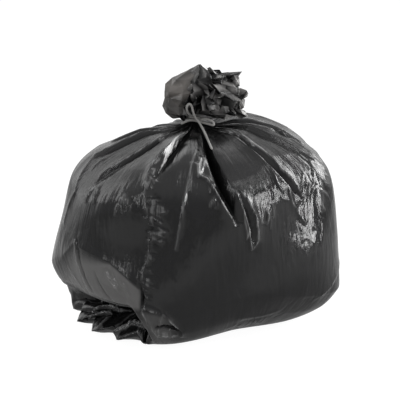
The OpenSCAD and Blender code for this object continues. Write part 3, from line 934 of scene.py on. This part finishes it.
def film_material(name, settings, colour, pale, clouds=0.2):
    """Glossy black film with fine streaks and crinkles, painted in its pale colour as painted light where the
    slack share says, with painted glints on crests and painted shade in hollows.
    """
    material, tree, shader = new_material(name)
    place = node(tree, "TexCoord").outputs["Object"]
    film = node(tree, "Attribute", attribute_name="sheet").outputs["Vector"]
    # Shares of painted paleness and of painted glint or shade, which the pieces keep as attributes
    loose = node(tree, "Attribute", attribute_name="slack").outputs["Fac"]
    crests = node(tree, "Attribute", attribute_name="crest").outputs["Fac"]
    stretch = node(tree, "Mapping", Vector=film, Scale=(1.0, 1.0, 0.12)).outputs["Vector"]
    streaks = mottled(tree, stretch, 210.0, 4.0, Roughness=0.6)
    cloud = mottled(tree, place, 14.0, 3.0, Roughness=0.55)
    softest, sharpest = settings.roughness * 1.35, settings.roughness * 0.75
    rough = mapped(tree, cloud, (0.0, 1.0), (sharpest, softest))
    darker, lighter = ([c * share for c in colour] for share in (1 - clouds, 1 + clouds))
    tint = mixed(tree, cloud, darker, lighter)
    # Painted light: where the slack share says, the film is painted in its paler colour, as light let through
    # single film and caught by lit facets
    tint = mixed(tree, loose, tint, pale)
    # Painted shade and painted glints: hollows get less shine, and the sharpest crests are painted in the
    # glint colour, in broken lines
    shine = mapped(tree, crests, (-1.0, 0.0), (0.08 * settings.shine, settings.shine))
    broken = mapped(tree, streaks, (0.42, 0.6))
    glint = maths(tree, "MULTIPLY", crests, broken)
    tint = mixed(tree, glint, tint, settings.glint_colour)
    # Longer, uneven ripples that break the highlights up
    leaning = node(tree, "Mapping", Vector=film, Scale=(1.0, 1.0, 0.3), Rotation=(0.25, 0.2, 0.0))
    ripples = mottled(tree, leaning.outputs["Vector"], 58.0, 2.0, Distortion=0.6)
    relief = bumped(tree, ripples, Strength=0.5, Distance=0.003)
    # Fine crinkles: sharp lines where soft noise crosses its middle
    soft = mottled(tree, place, 22.0, 4.0)
    sharp = maths(tree, "ABSOLUTE", maths(tree, "SUBTRACT", soft, 0.5))
    relief = bumped(tree, sharp, Strength=0.07, Distance=0.004, invert=True, Normal=relief)
    relief = bumped(tree, streaks, Strength=0.6, Distance=0.0012, Normal=relief)
    set_inputs(tree, shader, IOR=FILM_IOR, Base_Color=tint, Roughness=rough, Specular_IOR_Level=shine,
               Normal=relief)
    return material


def twine_material(settings):
    """Soft grey string, with fine fibres and slightly soiled patches."""
    material, tree, shader = new_material("grey twine")
    place = node(tree, "TexCoord").outputs["Object"]
    fibres = mottled(tree, place, 1400.0, 3.0)
    soil = mottled(tree, place, 120.0, 2.0)
    darker, lighter = ([c * share for c in settings.colour] for share in (0.75, 1.2))
    tint = mixed(tree, soil, darker, lighter)
    relief = bumped(tree, fibres, Strength=0.5, Distance=0.0003)
    set_inputs(tree, shader, Base_Color=tint, Roughness=0.85, Sheen_Weight=0.3, Normal=relief)
    return material


def colour_setting(name, description, default):
    """A colour that a user would change."""
    return FloatVectorProperty(name=name, description=description, subtype="COLOR", size=3, min=0.0, max=1.0,
                               default=default)


def share_setting(name, description, default, low=0.0):
    """A share that a user would change."""
    return FloatProperty(name=name, description=description, subtype="FACTOR", min=low, max=1.0,
                         default=default)


class BagFilmSettings(bpy.types.PropertyGroup):
    """The film's colours, with its painted light and glint colours, and its finish."""
    colour: colour_setting("Film colour", "Colour of the black film", (0.006, 0.006, 0.0063))
    roughness: share_setting("Film roughness", "How soft the film's reflections are", 0.12, low=0.05)
    # Painted light: paler colour of the slack panel, for light through single film and the floor it reflects
    slack_painted_light_colour: colour_setting("Slack film colour", "Colour where one slack layer lets some light through",
                                 (0.13, 0.128, 0.126))
    # Painted glint on the sharpest crests of the folds
    glint_colour: colour_setting("Glint colour", "Colour of the sharpest crests of the folds",
                                 (0.5, 0.5, 0.5))
    shine: share_setting("Film shine", "How much light the film's surface reflects", 0.5)


class RuffleSettings(bpy.types.PropertyGroup):
    """Form and colour of the ruffle above the tie."""
    crumple: FloatProperty(name="Crumple", description="Height of the ruffle's sharp facets", unit="LENGTH",
                           min=0.0, max=0.012, default=0.008)
    # Painted light: colour of the ruffle's facets painted as lit
    crumpled_painted_light_colour: colour_setting("Crumpled film colour", "Colour of the ruffle's palest facets",
                                    (0.42, 0.41, 0.4))
    # Painted light that the flap's single film lets through, and the painted shade where it lies in folds
    flap_painted_light_colour: colour_setting("Flap colour", "Colour where a single layer of film lets light through",
                                (0.25, 0.232, 0.215))
    flap_painted_shade_colour: colour_setting("Flap fold colour", "Colour where the flap lies in folds",
                                     (0.075, 0.071, 0.067))


class StringSettings(bpy.types.PropertyGroup):
    """Finish of the string."""
    colour: colour_setting("String colour", "Colour of the string", (0.42, 0.41, 0.395))


class StageSettings(bpy.types.PropertyGroup):
    """The camera and the lights."""
    distance: FloatProperty(name="Camera distance", description="From the camera to the bag's middle",
                            unit="LENGTH", default=2.0)
    elevation: FloatProperty(name="Camera elevation", description="How far above level the camera stands",
                             subtype="ANGLE", default=math.radians(12.5))
    lens: FloatProperty(name="Lens", description="Focal length in millimetres", default=128.7)
    target: FloatVectorProperty(name="Target", description="Where the camera looks", unit="LENGTH",
                                size=3, default=(0.0049, -0.0083, 0.1736))


class BINBAG_OT_film(bpy.types.Operator):
    """Makes the filled body of the bag, with its pleats and creases"""
    bl_idname = "binbag.film"
    bl_label = "Bag film"

    def execute(self, context):
        settings = context.scene.binbag_film
        material = film_material("black film", settings, settings.colour, settings.slack_painted_light_colour)
        piece = add_piece("bag_film", grid_shell(*film_rings()), material, ["bag"])
        return {"FINISHED"}


class BINBAG_OT_ruffle(bpy.types.Operator):
    """Makes the crumpled ruffle of spare film above the tie"""
    bl_idname = "binbag.ruffle"
    bl_label = "Ruffle"

    def execute(self, context):
        settings = context.scene.binbag_ruffle
        film = context.scene.binbag_film
        material = film_material("crumpled film", film, film.colour, settings.crumpled_painted_light_colour)
        add_piece("ruffle", grid_shell(*rosette_rings(settings)), material, ["bag"])
        rng = np.random.default_rng(LEAF_SEED)
        leaves = joined([grid_shell(*leaf_rings(corners, rng, settings)) for corners in LEAVES])
        add_piece("ruffle_leaves", leaves, material, ["bag"])
        flap = film_material("single film", film, settings.flap_painted_shade_colour, settings.flap_painted_light_colour, clouds=0.7)
        add_piece("ruffle_flap", grid_shell(*flap_rings()), flap, ["bag"])
        return {"FINISHED"}


class BINBAG_OT_string(bpy.types.Operator):
    """Makes the twisted string, wound round the neck and tied in a bow"""
    bl_idname = "binbag.string"
    bl_label = "String"

    def execute(self, context):
        settings = context.scene.binbag_string
        route = string_route()
        path = smooth_path(route, ROUTE_GAP)
        bm = joined([grid_shell(ply_rings(path, STRING_D * MM, ply)) for ply in range(PLIES)])
        piece = add_piece("tie_string_plies", bm, twine_material(settings), ["tie_string"])
        return {"FINISHED"}


class BINBAG_OT_stage(bpy.types.Operator):
    """Makes the floor, the lights and the camera"""
    bl_idname = "binbag.stage"
    bl_label = "Stage"

    def execute(self, context):
        settings = context.scene.binbag_stage
        make_floor()
        make_lights()
        make_camera(settings)
        return {"FINISHED"}


def seen_directly(tree, rays):
    """One for rays from the camera, in gloss and through clear film, so that they see the white surround."""
    first = maths(tree, "MAXIMUM", rays["Is Camera Ray"], rays["Is Glossy Ray"])
    return maths(tree, "MAXIMUM", first, rays["Is Transmission Ray"])


FLOOR_SIZE = 30.0
FLOOR_GLOW = 1.2
# The share of the floor that the camera sees glow, so that it still shows the bag's shadow
GLOW_SHARE = 0.8


def make_floor():
    """A wide pale floor, which the camera sees near white and which keeps the bag's shadow."""
    material, tree, _ = new_material("white floor")
    tree.nodes.clear()
    rays = node(tree, "LightPath").outputs
    # In gloss the floor is as dim as the room, with a lighter ring round the bag
    place = node(tree, "TexCoord").outputs["Object"]
    away = node(tree, "VectorMath", operation="LENGTH", _0=place).outputs["Value"]
    near = mapped(tree, away, (0.3, 0.6), kind="SMOOTHSTEP")
    far = mapped(tree, away, (0.8, 2.0), (1.0, 0.0), "SMOOTHSTEP")
    ring = maths(tree, "MULTIPLY", near, far)
    in_gloss = mapped(tree, ring, (0.0, 1.0), (0.38, 0.66))
    strength = mapped(tree, rays["Is Glossy Ray"], (0.0, 1.0), (FLOOR_GLOW, in_gloss))
    glow = node(tree, "Emission", Strength=strength).outputs[0]
    diffuse = node(tree, "BsdfDiffuse", Color=(0.9, 0.9, 0.9, 1.0)).outputs[0]
    share = maths(tree, "MULTIPLY", seen_directly(tree, rays), GLOW_SHARE)
    mix = node(tree, "MixShader", _0=share, _1=diffuse, _2=glow).outputs[0]
    node(tree, "OutputMaterial", Surface=mix)
    bm = bmesh.new()
    bmesh.ops.create_grid(bm, x_segments=1, y_segments=1, size=FLOOR_SIZE)
    floor = new_object("floor", bm, material)


def aim(obj, place, target):
    """Puts a lamp or the camera in place, looking at a point."""
    obj.location = place
    obj.rotation_euler = (Vector(target) - Vector(place)).to_track_quat("-Z", "Y").to_euler()
    bpy.context.scene.collection.objects.link(obj)


# Soft lamps that point at the bag: key boxes on the right, strips on the left, and boxes behind. Each
# is a name, a place, a width and height, and a power
LAMP_TARGET = (0.0, 0.0, 0.2)
LAMPS = [("right box", (1.5, 1.1, 0.95), (0.9, 0.7), 10.0),
         ("low key box", (1.5, -0.47, 0.34), (0.24, 0.52), 8.0),
         ("high key box", (1.5, 0.33, 0.68), (0.34, 0.5), 9.0),
         ("right strip", (1.5, -0.55, 1.5), (0.12, 1.2), 3.5),
         ("left box", (-1.9, 0.3, 0.95), (0.18, 0.5), 0.7),
         ("left strip", (-1.25, -1.15, 0.85), (0.1, 0.9), 3.2),
         ("low left strip", (-1.3, -1.2, 0.28), (0.06, 0.4), 0.5),
         ("left top strip", (-0.9, -0.35, 1.9), (0.08, 0.8), 0.25),
         ("right top strip", (0.95, -0.4, 1.9), (0.08, 0.8), 0.3),
         ("back left box", (-1.9, 0.9, 1.2), (0.5, 1.4), 3.6),
         ("overhead box", (0.0, 1.1, 2.0), (1.2, 0.7), 5.0)]


def make_lights():
    """A white surround that is darker in front, and the lamps."""
    world = bpy.data.worlds.new("studio")
    bpy.context.scene.world = world
    world.use_nodes = True
    tree = world.node_tree
    rays = node(tree, "LightPath").outputs
    strength = mapped(tree, seen_directly(tree, rays), (0.0, 1.0), (0.5, 1.0))
    # The room in front of the white surround is darker, as gloss shows
    place = node(tree, "TexCoord").outputs["Generated"]
    split = node(tree, "SeparateXYZ", _0=place).outputs
    high = mapped(tree, split["Z"], (0.25, 0.75), (0.0, 0.55), "SMOOTHSTEP")
    behind = mapped(tree, split["Y"], (0.1, 0.6), kind="SMOOTHSTEP")
    both = maths(tree, "MAXIMUM", high, behind)
    lit = maths(tree, "MAXIMUM", both, rays["Is Camera Ray"])
    tone = mixed(tree, lit, (0.44, 0.44, 0.45), (1.0, 1.0, 1.0))
    set_inputs(tree, tree.nodes["Background"], Color=tone, Strength=strength)
    for name, place, size, power in LAMPS:
        lamp = bpy.data.lights.new(name, "AREA")
        lamp.shape = "RECTANGLE"
        lamp.size, lamp.size_y = size
        lamp.energy = power
        aim(bpy.data.objects.new(name, lamp), place, LAMP_TARGET)


def make_camera(settings):
    """The camera at the photograph's viewing angle."""
    lens = bpy.data.cameras.new("camera")
    lens.lens = settings.lens
    camera = bpy.data.objects.new("camera", lens)
    rise = settings.elevation
    back = Vector((0.0, -math.cos(rise), math.sin(rise))) * settings.distance
    aim(camera, Vector(settings.target) + back, settings.target)
    bpy.context.scene.camera = camera


class BINBAG_PT_panel(bpy.types.Panel):
    """The bag's pieces and their settings"""
    bl_idname = "BINBAG_PT_panel"
    bl_label = "Bin Bag"
    bl_space_type = "VIEW_3D"
    bl_region_type = "UI"
    bl_category = "Bin Bag"

    def draw(self, context):
        for title, settings, operators in PANEL_ROWS:
            box = self.layout.box()
            box.label(text=title)
            group = getattr(context.scene, settings)
            for name in group.__annotations__:
                box.prop(group, name)
            for operator in operators:
                box.operator(operator.bl_idname)


PANEL_ROWS = [("Film", "binbag_film", [BINBAG_OT_film]), ("Ruffle", "binbag_ruffle", [BINBAG_OT_ruffle]),
              ("String", "binbag_string", [BINBAG_OT_string]), ("Stage", "binbag_stage", [BINBAG_OT_stage])]
SETTINGS = {"binbag_film": BagFilmSettings, "binbag_ruffle": RuffleSettings, "binbag_string": StringSettings,
            "binbag_stage": StageSettings}
OPERATORS = [BINBAG_OT_stage, BINBAG_OT_string, BINBAG_OT_film, BINBAG_OT_ruffle]


def register():
    for cls in [*SETTINGS.values(), *OPERATORS, BINBAG_PT_panel]:
        bpy.utils.register_class(cls)
    for name, cls in SETTINGS.items():
        setattr(bpy.types.Scene, name, PointerProperty(type=cls))


def unregister():
    for name in SETTINGS:
        delattr(bpy.types.Scene, name)
    for cls in reversed([*SETTINGS.values(), *OPERATORS, BINBAG_PT_panel]):
        bpy.utils.unregister_class(cls)


def main():
    register()
    bpy.context.scene.view_settings.view_transform = "Standard"
    bpy.ops.binbag.stage()
    bpy.ops.binbag.string()
    bpy.ops.binbag.film()
    bpy.ops.binbag.ruffle()


if __name__ == "__main__":
    main()
